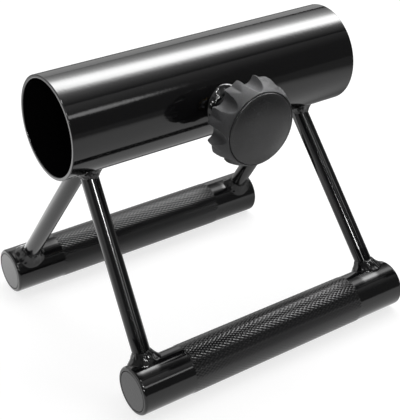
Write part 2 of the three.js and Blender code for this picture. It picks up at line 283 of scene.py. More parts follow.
lamp_data = bpy.data.lights.new("soft_box", "AREA")
lamp_data.shape, lamp_data.energy = "RECTANGLE", LIGHT_WATTS
lamp_data.size, lamp_data.size_y = LIGHT_LONG, LIGHT_WIDE
lamp = new_object("soft_box", lamp_data)
lamp.location = LIGHT_AT
lamp.rotation_euler = (Vector(LIGHT_AIM) - Vector(LIGHT_AT)).to_track_quat("-Z", "Y").to_euler()
lamp.visible_camera = lamp.visible_glossy = False

# The cloth's brightness across it, from its front edge to its back edge, is one soft curve.
CLOTH_MIDDLE, CLOTH_SKEW, CLOTH_SPLAY, CLOTH_LEVEL, CLOTH_LEFT = 0.5, 0.26, 0.67, 18.5, (0.18, 0.32)
GLOW = [(-0.35, 0.022), (-0.2, 0.05), (-0.13, 0.078), (-0.06, 0.21), (-0.02, 0.33), (0.024, 0.52),
        (0.058, 0.80), (0.10, 0.93), (0.20, 1.0), (0.30, 0.92), (0.385, 0.80), (0.466, 0.60),
        (0.525, 0.46), (0.643, 0.26), (0.74, 0.195), (0.90, 0.128), (1.14, 0.086), (1.35, 0.068)]
cloth_front, cloth_back = GLOW[0][0], GLOW[-1][0]
cloth, add, spot = new_material("lit_diffuser_cloth")
part = add(SPLIT, spot, out=None).outputs
aside = add("SUBTRACT", part["X"], CLOTH_MIDDLE)
slant = add("MULTIPLY_ADD", part["Y"], CLOTH_SPLAY, CLOTH_SKEW)
across = add("MULTIPLY_ADD", aside, slant, part["Y"])
across = add(RANGE, across, cloth_front, cloth_back, clamp=False)
glow = add("ShaderNodeFloatCurve", None, across, out=None)
curve = glow.mapping.curves[0]
curve.points[0].location, curve.points[1].location = (0.0, GLOW[0][1]), (1.0, GLOW[-1][1])
for y, brightness in GLOW[1:-1]:
    curve.points.new((y - cloth_front) / (cloth_back - cloth_front), brightness)
glow.mapping.update()
lit = add("ShaderNodeEmission", None, add("MULTIPLY", glow.outputs[0], CLOTH_LEVEL))
cover = add(RANGE, part["X"], *CLOTH_LEFT, **SMOOTH)
add(OUTPUT, add("ShaderNodeMixShader", cover, add("ShaderNodeBsdfTransparent"), lit))
stage_plane("soft_box_cloth", (0.15, -0.5), (2.2, 1.6), LIGHT_AT[2], cloth)

# %% [markdown]
# A photographer hangs a flag, a small dark card, where a highlight would be too strong. The
# photographed grips mirror the soft box far more faintly than the tube does, so here a flag hangs
# over each grip: a net, denser over the plain ends, thinner over the weld beads and notched in
# front of the front beads, which catch the light. It dims only mirrored rays that go up to it.

# %% Flags
FLAG_Z, FLAG_REACH, FLAG_LEFT, FLAG_RIGHT = 0.038, 0.016, -0.100, 0.115
NET_MIDDLE, PLAIN_END, NET_LEVELS = 0.002, (0.050, 0.062), (0.58, 0.84)
NEAR_WELD, WELD_LEVELS = (0.004, 0.007), (0.6, 1.0)
NOTCH_EDGE, NOTCH_SIDE = (-0.0830, -0.0820), (0.009, 0.012)
weld_low, weld_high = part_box("grip_weld_front_right")
weld_middle = (weld_low.x + weld_high.x) / 2
net, add, spot = new_material("black_flag_net")
part = add(SPLIT, spot, out=None).outputs
off_middle = add("ABSOLUTE", add("SUBTRACT", part["X"], NET_MIDDLE))
off_weld = add("ABSOLUTE", add("SUBTRACT", off_middle, weld_middle))
density = add(RANGE, off_middle, *PLAIN_END, *NET_LEVELS, **SMOOTH)
thinned = add(RANGE, off_weld, *NEAR_WELD, *WELD_LEVELS, **SMOOTH)
behind = add(RANGE, part["Y"], *NOTCH_EDGE, **SMOOTH)
beside = add(RANGE, off_weld, *NOTCH_SIDE, **SMOOTH)
notch = add("MAXIMUM", behind, beside)
from_above = add("ShaderNodeNewGeometry", out="Backfacing")
cover = add("SUBTRACT", 1.0, from_above)
for share in (density, thinned, notch):
    cover = add("MULTIPLY", cover, share)
black = add("ShaderNodeBsdfDiffuse", linear("#000000"))
add(OUTPUT, add("ShaderNodeMixShader", cover, add("ShaderNodeBsdfTransparent"), black))

# The corners run from the far edge to the near one, so the flag's face looks down at the grip.
for side_name, side in SIDES:
    far, near = (side * GRIP_Y * MM + reach for reach in (FLAG_REACH, -FLAG_REACH))
    stage_plane(f"flag_{side_name}", (FLAG_LEFT, far), (FLAG_RIGHT, near), FLAG_Z, net)

# %% [markdown]
# The table is white. To the camera it is mostly plain white with a share of real lit surface,
# which keeps the soft shadow under the grips: elsewhere the two shares add up to white. In the
# paint it is mirrored as a lit table that falls away into the dark room at the front and right,
# and is brightest at the left behind the piece.

# %% Table
FRONT_FADE, FRONT_LEVELS = (-1.0, -0.4), (0.2, 0.93)
DARK_WAY, DARK_START, DARK_RIGHT, DARK_LEVEL = (0.63, 0.77, 0.0), (0.06, 0.14), (0.24, 0.42), 0.25
SHADOW_SHARE, CAMERA_WHITE = 0.40, 1.25
table, add, spot = new_material("white_table")
part = add(SPLIT, spot, out=None).outputs
seen = add(RANGE, part["Y"], *FRONT_FADE, *FRONT_LEVELS, **SMOOTH)
diagonal = add(VECTOR, spot, DARK_WAY, out="Value", operation="DOT_PRODUCT")
behind = add(RANGE, diagonal, *DARK_START, **SMOOTH)
beside = add(RANGE, part["X"], *DARK_RIGHT, **SMOOTH)
dark = add("MAXIMUM", behind, beside)
seen = add(MIX, dark, None, seen, DARK_LEVEL)

# Two round places change the level by their distance: the shade under the piece, and the glow.
for middle, reach, levels, operation in (
    ((0.0, 0.05, 0.0), (0.04, 0.14), (0.66, 1.0), "MULTIPLY"),
    ((-0.13, 0.27, 0.0), (0.32, 0.04), (0.0, 1.3), "ADD"),
):
    away = add(VECTOR, spot, middle, out="Value", operation="DISTANCE")
    change = add(RANGE, away, *reach, *levels, **SMOOTH)
    seen = add(operation, seen, change)
ray = add("ShaderNodeLightPath", out=None).outputs
seen = add(MIX, ray["Is Camera Ray"], None, seen, CAMERA_WHITE)
plain = add("ShaderNodeEmission", None, seen)
surface = add("ShaderNodeBsdfDiffuse", linear("#f4f4f4"))
sharp = add("MAXIMUM", ray["Is Glossy Ray"], ray["Is Transmission Ray"])
share = add("MULTIPLY_ADD", ray["Is Camera Ray"], 1 - SHADOW_SHARE, sharp)
add(OUTPUT, add("ShaderNodeMixShader", share, surface, plain))
stage_plane("table", (-5, -5), (5, 5), 0.0, table, mirrored_only=False)
print("studio: one soft box,", len(CARDS), "cards, two flags and a white table")

# %% [markdown]
# The frame is welded mild steel under gloss black powder coat. Baked powder flows out into a thick
# glassy film, so it mirrors the studio sharply, but it keeps a faint ripple called orange peel,
# about 2 mm from crest to crest. Its clear surface has an index of refraction of 1.5. Dust and
# handling make the gloss a little uneven.

# %% Gloss black powder coat
PEEL_MM, HAZE_MM = 2.0, 25.0


def powder_coat(name, colour, peel_height):
    material, add, spot = new_material(name)
    peel = add(NOISE, spot, {"Scale": 1 / (PEEL_MM * MM), "Detail": 1.0, "Roughness": 0.4})
    haze = add(NOISE, spot, {"Scale": 1 / (HAZE_MM * MM), "Detail": 4.0, "Roughness": 0.6})
    gloss = add(RANGE, haze, 0.3, 0.7, 0.07, 0.12)
    ripple = add(BUMP, {"Height": peel, "Strength": 1.0, "Distance": peel_height * MM})
    paint = add("ShaderNodeBsdfPrincipled", {
        "Base Color": linear(colour), "Roughness": gloss, "Metallic": 0.0, "IOR": 1.5, "Normal": ripple,
    })
    add(OUTPUT, paint)
    return material


gloss_black = powder_coat("gloss_black_powder_coat", "#0b0b0c", 0.012)

# %% [markdown]
# The knob is injection-moulded nylon, dark grey all through, from a spark-eroded mould that leaves
# a fine matte grain. The real grain is about 0.2 mm across and would vanish in the render, so it is
# drawn at 0.6 mm. The cap's mould is finer, so it shines more. Nylon's index of refraction is about
# 1.53, and 1.47 matches the faint shine in the photograph.

# %% Moulded nylon
CLOUD_MM, CLOUD_SHARE, GRAIN_HEIGHT, TONE_PLACES = 9.0, 0.35, 0.11, (0.35, 0.68)


def moulded_nylon(name, colours, grain_mm, roughness):
    material, add, spot = new_material(name)
    grain = add(NOISE, spot, {"Scale": 1 / (grain_mm * MM), "Detail": 3.0, "Roughness": 0.65})
    cloud = add(NOISE, spot, {"Scale": 1 / (CLOUD_MM * MM), "Detail": 2.0})
    mixed = add(MIX, CLOUD_SHARE, None, grain, cloud)
    shade = add("ShaderNodeValToRGB", mixed, out=None)
    for stop, at, colour in zip(shade.color_ramp.elements, TONE_PLACES, colours):
        stop.position, stop.color = at, linear(colour)
    bumps = add(BUMP, {"Height": grain, "Strength": 0.9, "Distance": GRAIN_HEIGHT * MM})
    nylon = add("ShaderNodeBsdfPrincipled", {
        "Base Color": shade.outputs["Color"], "Roughness": roughness, "Metallic": 0.0, "IOR": 1.47,
        "Normal": bumps,
    })
    add(OUTPUT, nylon)
    return material


knob_nylon = moulded_nylon("spark_textured_nylon", ("#1a1a1b", "#343436"), 0.6, 0.56)
cap_nylon = moulded_nylon("fine_textured_nylon", ("#131314", "#272728"), 0.5, 0.27)

# %% [markdown]
# The plugs in the grips' ends are plastic too, pressed in and painted over with the frame. The
# stud is rolled steel thread with a bright zinc plate, and the insert in the knob is turned brass.
# Both metals carry faint rings from the tool along the screw's axis, drawn 0.25 mm apart on the
# stud and 0.35 mm apart on the brass.

# %% Plugs and metals
# The plugs' paint is a little lighter than the frame's. This is a painted sheen for the pale table that
# their end faces mirror.
plug_paint_with_painted_sheen = powder_coat("plug_face_with_painted_sheen", "#1c1c1d", 0.008)
STAIN_MM, RING_HEIGHT, STAIN_PLACES, ALONG_SCREW = 4.0, 0.02, (0.3, 0.65), (0.02, 1.0, 0.02)
SMOOTHER, ROUGHER = 0.08, 0.12


def worked_metal(name, colours, roughness, ring_mm):
    material, add, spot = new_material(name)
    drawn_out = add("ShaderNodeMapping", spot, {"Scale": ALONG_SCREW})
    rings = add(NOISE, drawn_out, {"Scale": 1 / (ring_mm * MM), "Detail": 2.0})
    stain = add(NOISE, spot, {"Scale": 1 / (STAIN_MM * MM), "Detail": 4.0})
    tone = add("ShaderNodeValToRGB", stain, out=None)
    for stop, at, colour in zip(tone.color_ramp.elements, STAIN_PLACES, colours):
        stop.position, stop.color = at, linear(colour)
    polish = add(RANGE, rings, 0.0, 1.0, roughness - SMOOTHER, roughness + ROUGHER)
    marks = add(BUMP, {"Height": rings, "Strength": 0.5, "Distance": RING_HEIGHT * MM})
    metal = add("ShaderNodeBsdfPrincipled", {
        "Base Color": tone.outputs["Color"], "Metallic": 1.0, "Roughness": polish, "Normal": marks,
    })
    add(OUTPUT, metal)
    return material


zinc_plate = worked_metal("zinc_plated_steel", ("#9a9ca0", "#c3c5c8"), 0.32, 0.25)
turned_brass = worked_metal("turned_brass", ("#5d4d31", "#7f6a44"), 0.3, 0.35)

# %% [markdown]
# Almost every piece is turned: a profile that goes round an axis. Real edges are never sharp, least
# of all under paint, so a corner can carry a radius. It becomes a short arc with a support point
# close on either side, which keeps the flats beside it flat in the shading.

# %% Turning helpers
def rounded(corners, closed=False, steps=5):
    """Corners are (along, radius, rounding). Returns the profile's points."""
    points = []
    for i, (along, radius, rounding) in enumerate(corners):
        here = Vector((along, radius))
        if rounding == 0 or (not closed and i in (0, len(corners) - 1)):
            points.append(here)
            continue
        before = Vector(corners[i - 1][:2]) - here
        after = Vector(corners[(i + 1) % len(corners)][:2]) - here
        half_angle = before.angle(after) / 2
        tangent = rounding / tan(half_angle)
        support = min(tangent * 1.3, (tangent + min(before.length, after.length)) / 2)
        before.normalize()
        after.normalize()
        centre = here + (before + after).normalized() * rounding / sin(half_angle)
        first, last = here + before * tangent - centre, here + after * tangent - centre
        sweep = first.angle_signed(last)
        points.append(here + before * support)
        turns = [Matrix.Rotation(-sweep * step / steps, 2) for step in range(steps + 1)]
        points += [centre + turn @ first for turn in turns]
        points.append(here + after * support)
    return points


def skin(rings, closed=False):
    """Faces between rings of point numbers, each ring joined to the next."""
    faces = []
    for low, high in list(zip(rings, rings[1:])) + ([(rings[-1], rings[0])] if closed else []):
        for i in range(len(low)):
            j = (i + 1) % len(low)
            corners = dict.fromkeys((low[i], low[j], high[j], high[i]))
            if len(corners) > 2:
                faces.append(tuple(corners))
    return faces


def turned(profile, segments, closed=False):
    """Turns (along, radius) points about local Z. A radius may be a function of the angle."""
    angles = 2 * np.pi * np.arange(segments) / segments
    points, rings = [], []
    for along, radius in profile:
        if not callable(radius) and abs(radius) < 1e-9:
            rings.append([len(points)] * segments)
            points.append((0.0, 0.0, along))
            continue
        rings.append(list(range(len(points), len(points) + segments)))
        for angle in angles:
            reach = radius(angle) if callable(radius) else radius
            points.append((reach * cos(angle), reach * sin(angle), along))
    return points, skin(rings, closed)


def mesh_object(name, shape, material, place=Matrix()):
    """A mesh object from points and faces, put in place by a matrix, all in millimetres."""
    points, faces = shape
    mesh = bpy.data.meshes.new(name)
    mesh.from_pydata([tuple(p) for p in points], [], faces)
    mesh.transform(place)
    mesh.transform(Matrix.Scale(MM, 4))
    mesh.materials.append(material)
    return new_object(name, mesh)


def move(piece, place):
    """Moves a finished mesh by a matrix in millimetres."""
    in_metres = Matrix.Scale(MM, 4)
    piece.data.transform(in_metres @ place @ in_metres.inverted())


def close_up(piece, sharp_degrees=None):
    """Merges doubles, turns all faces outwards and shades the piece smooth."""
    shape = bmesh.new()
    shape.from_mesh(piece.data)
    bmesh.ops.remove_doubles(shape, verts=shape.verts, dist=2e-6)
    bmesh.ops.dissolve_degenerate(shape, edges=shape.edges, dist=1e-7)
    bmesh.ops.recalc_face_normals(shape, faces=shape.faces)
    open_edges = sum(not edge.is_manifold for edge in shape.edges)
    volume = shape.calc_volume(signed=True)
    shape.to_mesh(piece.data)
    shape.free()
    piece.data.shade_smooth()
    if sharp_degrees:
        piece.data.set_sharp_from_angle(angle=radians(sharp_degrees))
    if open_edges or volume <= 0:
        raise ValueError(f"{piece.name}: {open_edges} open edges, volume {volume:g}")
    return piece


def settle(piece, node, sharp_degrees=None, body="frame"):
    """Closes a finished piece, hands it to the frame and says how far it is off the CAD's box."""
    close_up(piece, sharp_degrees)
    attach(piece, body)
    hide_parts(node)
    places = np.array([v.co / MM for v in piece.data.vertices])
    off = np.abs(np.array((places.min(axis=0), places.max(axis=0))) - np.array(box_mm(node))).max()
    triangles = sum(len(p.vertices) - 2 for p in piece.data.polygons)
    print(f"{piece.name}: {triangles} triangles, box within {off:.2f} mm of the CAD's")


def apply_modifiers(piece):
    """Replaces a piece's mesh by its evaluated one and takes its modifiers off."""
    bpy.context.view_layer.update()
    evaluated = piece.evaluated_get(bpy.context.evaluated_depsgraph_get())
    mesh = bpy.data.meshes.new_from_object(evaluated)
    piece.modifiers.clear()
    piece.data = mesh
    return piece


# %% [markdown]
# The sleeve tube is plain steel tube, cut to length and deburred. It is a turned wall, and a Boolean
# drills the screw's hole. The rings of faces are closer together round the hole, so the cut leaves
# no long thin faces.

# %% Sleeve tube
TUBE_EDGE, HOLE_RADIUS, FINE_REACH, DRILL_FROM, DRILL_TO = 0.45, 5.5, 9, 15, 45
ALONG_X = Matrix.Rotation(pi / 2, 4, "Y")
wall = rounded([
    (-TUBE_HALF, TUBE_RADIUS, TUBE_EDGE), (TUBE_HALF, TUBE_RADIUS, TUBE_EDGE),
    (TUBE_HALF, TUBE_RADIUS - TUBE_WALL, TUBE_EDGE), (-TUBE_HALF, TUBE_RADIUS - TUBE_WALL, TUBE_EDGE),
], closed=True)
fine = [SCREW_X + step for step in range(-FINE_REACH, FINE_REACH + 1)]
profile = []
for here, after in zip(wall, wall[1:] + wall[:1]):
    profile.append(here)
    if abs(here.y - after.y) < 1e-6 and abs(here.x - after.x) > TUBE_HALF:
        profile += [Vector((x, here.y)) for x in (fine if after.x > here.x else fine[::-1])]
in_sleeve = Matrix.Translation((0, 0, TUBE_Z)) @ ALONG_X
shell = turned(profile, 180, closed=True)
tube = close_up(mesh_object("sleeve_tube_shell", shell, gloss_black, in_sleeve))
bit = [(DRILL_FROM, 0), (DRILL_FROM, HOLE_RADIUS), (DRILL_TO, HOLE_RADIUS), (DRILL_TO, 0)]
drill = close_up(mesh_object("drill", turned(bit, 72), gloss_black, on_screw))
cut = tube.modifiers.new("hole", "BOOLEAN")
cut.operation, cut.solver, cut.object = "DIFFERENCE", "EXACT", drill
apply_modifiers(tube)
bpy.data.objects.remove(drill)
settle(tube, "sleeve_tube", 35)

# %% [markdown]
# A grip is a tube with a knurled band. Two wheels press crossing grooves into it at about 33
# degrees to its length. Between them stand small diamonds, 43 round and 38 along, about 2.0 by
# 3.1 mm. They are real geometry, because they catch the light one by one. A Geometry Nodes tree
# rolls a fine grid into a tube, gives each point its height by straight waves, and splits the faces
# along their shorter diagonals. The band is joined to the turned rest of the grip.

# %% Geometry Nodes helpers
def new_tree(name, **inputs):
    """Gives back a tree with named inputs of each kind, what adds nodes to it, and its inputs."""
    tree = bpy.data.node_groups.new(name, "GeometryNodeTree")
    for kind, labels in {"Geometry": ["Geometry"], **inputs, "Material": ["Finish"]}.items():
        for label in labels:
            tree.interface.new_socket(label, in_out="INPUT", socket_type="NodeSocket" + kind)
    tree.interface.new_socket("Geometry", in_out="OUTPUT", socket_type="NodeSocketGeometry")
    add = partial(add_node, tree)
    return tree, add, add("NodeGroupInput", out=None).outputs


def grow(piece, tree, values):
    """Runs a tree on a piece with its inputs set, and leaves a plain mesh."""
    modifier = piece.modifiers.new(tree.name, "NODES")
    modifier.node_group = tree
    for socket in tree.interface.items_tree:
        if socket.in_out == "INPUT" and socket.name in values:
            modifier[socket.identifier] = values[socket.name]
    apply_modifiers(piece)


def end_tree(add, geometry, material):
    """The last nodes of each tree: plain geometry, smooth faces and the material."""
    smooth = add("GeometryNodeSetShadeSmooth", add("GeometryNodeRealizeInstances", geometry))
    painted = add("GeometryNodeSetMaterial", smooth, {"Material": material})
    add("NodeGroupOutput", painted)


# %% Tree of the knurled band
knurled_band, add, given = new_tree(
    "knurled_band", Float=["Length", "Plain Radius", "Valley Radius", "Height", "Fade"],
    Int=["Diamonds Round", "Diamonds Along", "Steps"])
around = add("MULTIPLY", given["Diamonds Round"], given["Steps"])
along = add("MULTIPLY", given["Diamonds Along"], given["Steps"])
columns = add("ADD", around, 1.0)
sheet = add("GeometryNodeMeshGrid", 1.0, 1.0, add("ADD", along, 1.0), columns)
index = add("GeometryNodeInputIndex")
row = add("FLOOR", add("DIVIDE", add("ADD", index, 0.5), columns))
column = add("SUBTRACT", index, add("MULTIPLY", row, columns))
turns_round = add("DIVIDE", column, around)
share_along = add("DIVIDE", row, along)

# Each wave goes down and up in straight lines. A diamond's crest is where the waves along and
# round are both at their top, and its four sides are flat. Paint leaves its point a little blunt.
BLUNT = 0.85
waves = []
for share, count in ((turns_round, "Diamonds Round"), (share_along, "Diamonds Along")):
    halves = add("MULTIPLY", add("MULTIPLY", share, given[count]), 2.0)
    waves.append(add("PINGPONG", halves, 1.0))
rise = add("ABSOLUTE", add("SUBTRACT", 1.0, add("ADD", *waves)))
rise = add("DIVIDE", add("MINIMUM", rise, BLUNT), BLUNT)

# The wheels are lifted off over a short length, so the band fades out at both ends.
x_place = add("MULTIPLY", add("SUBTRACT", share_along, 0.5), given["Length"])
to_end = add("SUBTRACT", add("MULTIPLY", given["Length"], 0.5), add("ABSOLUTE", x_place))
full = add(RANGE, to_end, 0.0, given["Fade"], **SMOOTH)
cut_radius = add("MULTIPLY_ADD", rise, given["Height"], given["Valley Radius"])
radius = add(MIX, full, None, given["Plain Radius"], cut_radius)
angle = add("MULTIPLY", turns_round, tau)
y_place, z_place = (add("MULTIPLY", add(wave, angle), radius) for wave in ("COSINE", "SINE"))
rolled = add("GeometryNodeSetPosition", sheet, {"Position": add(JOIN, x_place, y_place, z_place)})
split = add("GeometryNodeTriangulate", rolled, quad_method="SHORTEST_DIAGONAL")
joined = add("GeometryNodeJoinGeometry", split, out=None)
knurled_band.links.new(given["Geometry"], joined.inputs[0])
sewn = add("GeometryNodeMergeByDistance", joined.outputs[0], {"Distance": 3e-6})
end_tree(add, sewn, given["Finish"])

# %% Grips
BAND_HALF, KNURL_DEPTH, KNURL_FADE, GRIP_EDGE, BORE_EDGE = 59.3, 0.18, 1.2, 1.4, 0.15
DIAMONDS_ROUND, DIAMONDS_ALONG, STEPS = 43, 38, 6
rest_of_grip = rounded([
    (-BAND_HALF, GRIP_RADIUS, 0), (-GRIP_HALF, GRIP_RADIUS, GRIP_EDGE),
    (-GRIP_HALF, GRIP_RADIUS - GRIP_WALL, BORE_EDGE), (GRIP_HALF, GRIP_RADIUS - GRIP_WALL, BORE_EDGE),
    (GRIP_HALF, GRIP_RADIUS, GRIP_EDGE), (BAND_HALF, GRIP_RADIUS, 0),
])
# The tree counts its angle from +Y towards +Z, and the turned rest is laid along X to match.
lay_down = Matrix(((0, 0, 1, 0), (1, 0, 0, 0), (0, 1, 0, 0), (0, 0, 0, 1)))
for side_name, side in SIDES:
    rest = turned(rest_of_grip, DIAMONDS_ROUND * STEPS)
    grip = mesh_object(f"knurled_grip_{side_name}", rest, gloss_black, lay_down)
    grow(grip, knurled_band, {
        "Length": 2 * BAND_HALF * MM, "Plain Radius": GRIP_RADIUS * MM,
        "Valley Radius": (KNURL_RADIUS - KNURL_DEPTH) * MM, "Height": KNURL_DEPTH * MM,
        "Fade": KNURL_FADE * MM, "Diamonds Round": DIAMONDS_ROUND, "Diamonds Along": DIAMONDS_ALONG,
        "Steps": STEPS, "Finish": gloss_black,
    })
    move(grip, Matrix.Translation((0, side * GRIP_Y, GRIP_Z)))
    settle(grip, f"grip_{side_name}", 18)

# %% [markdown]
# A plug closes each end of a grip, flush with the end. A hair of shadow shows round it in the
# photograph, so it keeps a small gap and a soft edge of its own.

# %% Plugs
PLUG_GAP, PLUG_LENGTH = 0.3, 12.0
PLUG_RADIUS = GRIP_RADIUS - GRIP_WALL - PLUG_GAP
plug_profile = rounded([
    (0, 0, 0), (0, PLUG_RADIUS, 0.4), (PLUG_LENGTH, PLUG_RADIUS, 0.2), (PLUG_LENGTH, 0, 0),
])
for corner, side, end in CORNERS:
    turn = ALONG_X if end < 0 else Matrix.Rotation(pi, 4, "Z") @ ALONG_X
    place = Matrix.Translation((end * GRIP_HALF, side * GRIP_Y, GRIP_Z)) @ turn
    plug = mesh_object(f"end_plug_{corner}", turned(plug_profile, 96), plug_paint_with_painted_sheen, place)
    settle(plug, f"grip_plug_{corner}")

# %% [markdown]
# The struts are round bar, leaned in towards the tube and out along the grips. Both ends are coped,
# or cut to the curve of what they meet. Each line along the bar is followed down to the grip's
# skin, and up to the tube's skin or to the plane where the two struts of a pair meet.

# %% Struts
STRUT_RADIUS, COPE_GAP = 5.0, 0.05
FOOT_X, FOOT_OUT = GRIP_HALF - 10.8, 2.4
HEAD_X, HEAD_Z = TUBE_HALF - 21.0, TUBE_Z - TUBE_RADIUS + 3.7


def strut_line(end, side):
    foot = Vector((end * FOOT_X, side * (GRIP_Y + FOOT_OUT), GRIP_Z))
    head = Vector((end * HEAD_X, 0, HEAD_Z))
    return foot, head, (head - foot).normalized()


def frame_across(up):
    """Two directions square to a bar: the first leans along X."""
    across = (Vector((1, 0, 0)) - up * up.x).normalized()
    return across, up.cross(across)


def barrel_hits(point, up, y, z, radius):
    """How far along a line the skin of a barrel along X is met, near and far."""
    a = up.y ** 2 + up.z ** 2
    b = (point.y - y) * up.y + (point.z - z) * up.z
    c = (point.y - y) ** 2 + (point.z - z) ** 2 - radius ** 2
    root = sqrt(max(b * b - a * c, 0))
    return (-b - root) / a, (-b + root) / a


def coped_bar(side, foot, up, segments=72, spans=8):
    across, beside = frame_across(up)
    lines = []
    for i in range(segments):
        angle = tau * i / segments
        start = foot + (across * cos(angle) + beside * sin(angle)) * STRUT_RADIUS
        low = barrel_hits(start, up, side * GRIP_Y, GRIP_Z, GRIP_RADIUS + COPE_GAP)[1]
        to_pair = (side * COPE_GAP - start.y) / up.y
        to_tube = barrel_hits(start, up, 0, TUBE_Z, TUBE_RADIUS + COPE_GAP)[0]
        lines.append((start, low, min(to_pair, to_tube)))
    points = [start + up * (low + (high - low) * span / spans)
              for span in range(spans + 1) for start, low, high in lines]
    rings = [list(range(span * segments, (span + 1) * segments)) for span in range(spans + 1)]
    for rim in (rings[0], rings[-1]):
        points.append(sum((points[i] for i in rim), Vector((0, 0, 0))) / segments)
    hubs = [[len(points) - 2] * segments], [[len(points) - 1] * segments]
    return points, skin(hubs[0] + rings + hubs[1])


for corner, side, end in CORNERS:
    foot, head, up = strut_line(end, side)
    strut = mesh_object(f"strut_bar_{corner}", coped_bar(side, foot, up), gloss_black)
    settle(strut, f"strut_{corner}", 40)

# %% [markdown]
# A fillet weld flows between the bar and the tube with a hollow face, a rounded toe at each edge,
# and the ripples of the moving torch, about 2 mm apart, all softened by paint. The bead is a ring
# of sections. Each has its root on the tube's skin and a leg up the bar and one out along the skin,
# and the face between them bends in towards the root.

# %% Weld helper
# The legs sway by shares of their length: each is a share, its waves in a turn and its phase.
SWAYS = ((0.05, 2, 0), (0.04, 5, 1), (0.02, 9, 2))
BROAD_LUMP, FINE_LUMP, EDGE_DROP, IN_BAR, IN_BARREL, FACE_STEPS = 0.10, 0.05, 0.12, 0.25, 0.2, 15


def bead(point, out, reach, barrel, leg_on_bar, leg_on_barrel, seed, sections=150, hollow=0.42,
         toe=0.4, ripple=0.05, pitch=2.1):
    """A fillet weld round a bar that stands on a barrel along X. barrel is (y, z, radius)."""
    y, z, barrel_skin = barrel
    phases = np.random.default_rng(seed).uniform(0, tau, 4)
    across, beside = frame_across(out)
    ripples = round(tau * (reach + leg_on_barrel / 2) / pitch)

    def on_skin(p, height):
        away = Vector((0, p.y - y, p.z - z)).normalized()
        return Vector((p.x, y, z)) + away * (barrel_skin + height)

    points = []
    for i in range(sections):
        angle = tau * i / sections
        radial = across * cos(angle) + beside * sin(angle)
        start = point + radial * reach
        root = start + out * barrel_hits(start, out, y, z, barrel_skin)[1]
        away = Vector((0, root.y - y, root.z - z)).normalized()
        flat = (radial - away * radial.dot(away)).normalized()
        sway = 1 + sum(share * sin(waves * angle + phases[k]) for share, waves, k in SWAYS)
        on_bar = root + out * leg_on_bar * sway
        on_barrel = on_skin(root + flat * leg_on_barrel * (2 - sway), 0)
        bend = ((on_bar + on_barrel) / 2).lerp(root, hollow)
        for step in range(FACE_STEPS + 1):
            u = step / FACE_STEPS
            base = on_bar * (1 - u) ** 2 + bend * 2 * u * (1 - u) + on_barrel * u ** 2
            face_out = (radial * (1 - u) + away * u).normalized()
            body = 1 - abs(2 * u - 1) ** 6
            bow = 1.6 * (2 * u - 1) ** 2 + 0.8 * sin(3 * angle + phases[3])
            wave = cos(ripples * angle + bow)
            lump = (BROAD_LUMP * sin(7 * angle + phases[1]) * sin(tau * u + phases[2])
                    + FINE_LUMP * sin(17 * angle + phases[0]) * cos(tau * 1.5 * u))
            lift = toe * body - EDGE_DROP * (1 - body) + (ripple * wave + lump) * body
            points.append(base + face_out * lift)
        points.append(on_skin(on_barrel.lerp(root, 0.5), -IN_BARREL))
        points.append(root - radial * IN_BAR - away * IN_BARREL)
        points.append(on_bar.lerp(root, 0.5) - radial * IN_BAR)
    size = len(points) // sections
    return points, skin([list(range(i * size, (i + 1) * size)) for i in range(sections)], closed=True)


# %% Weld beads on the grips
for seed, (corner, side, end) in enumerate(CORNERS):
    foot, head, up = strut_line(end, side)
    shape = bead(foot, up, STRUT_RADIUS, (side * GRIP_Y, GRIP_Z, GRIP_RADIUS), 5.2, 4.6, seed)
    weld = mesh_object(f"grip_bead_{corner}", shape, gloss_black)
    settle(weld, f"grip_weld_{corner}")

# %% [markdown]
# Under the tube the two struts of a pair lean against each other, so their beads run together. Each
# bead is made whole, then cut on the plane between them and closed there.

# %% Weld beads on the sleeve
CUT_GAP = 0.02
for seed, (corner, side, end) in enumerate(CORNERS, start=10):
    foot, head, up = strut_line(end, side)
    shape = bead(head, -up, STRUT_RADIUS, (0, TUBE_Z, TUBE_RADIUS), 4.8, 4.4, seed)
    weld = mesh_object(f"sleeve_bead_{corner}", shape, gloss_black)
    half = bmesh.new()
    half.from_mesh(weld.data)
    bmesh.ops.bisect_plane(half, geom=half.verts[:] + half.edges[:] + half.faces[:], clear_outer=True,
                           plane_co=(0, side * CUT_GAP * MM, 0), plane_no=(0, -side, 0))
    bmesh.ops.holes_fill(half, edges=[e for e in half.edges if e.is_boundary], sides=0)
    half.to_mesh(weld.data)
    half.free()
    settle(weld, f"sleeve_weld_{corner}", 50)

# %% [markdown]
# The nut is a plain hexagon nut, 16 mm across its flats, welded on before painting. Its corners are
# turned off at 30 degrees, which leaves a curved edge on each flat. Its outline at each height is
# the smaller of the hexagon and the turned cone, blended softly because paint rounds the edge.

# %% Nut
NUT_FLATS, NUT_HEIGHT, SCREW_BORE = 16.0, NUT_FACE - NUT_FOOT, 5.3
CONE_SHARE, CONE_ANGLE, CORNER_WEAR, CORNER_BLEND, CONE_BLEND = 0.96, radians(30), 0.25, 0.4, 0.35
SIXTH = pi / 3


def soft_min(a, b, blend):
    share = max(blend - abs(a - b), 0) / blend
    return min(a, b) - share * share * blend / 4


def corner_reach(flats):
    return flats / 2 / cos(SIXTH / 2)


def hexagon(flats, angle, wear=0, blend=0):
    """Reach of a hexagon's outline, with a corner on the second axis that may be worn off."""
    sharp = flats / 2 / cos((angle - pi / 2) % SIXTH - SIXTH / 2)
    return soft_min(sharp, corner_reach(flats) - wear, blend) if wear else sharp


def nut_reach(height):
    cone = NUT_FLATS / 2 * CONE_SHARE + (NUT_HEIGHT - height) / tan(CONE_ANGLE)
    return lambda angle: soft_min(hexagon(NUT_FLATS, angle, CORNER_WEAR, CORNER_BLEND), cone, CONE_BLEND)


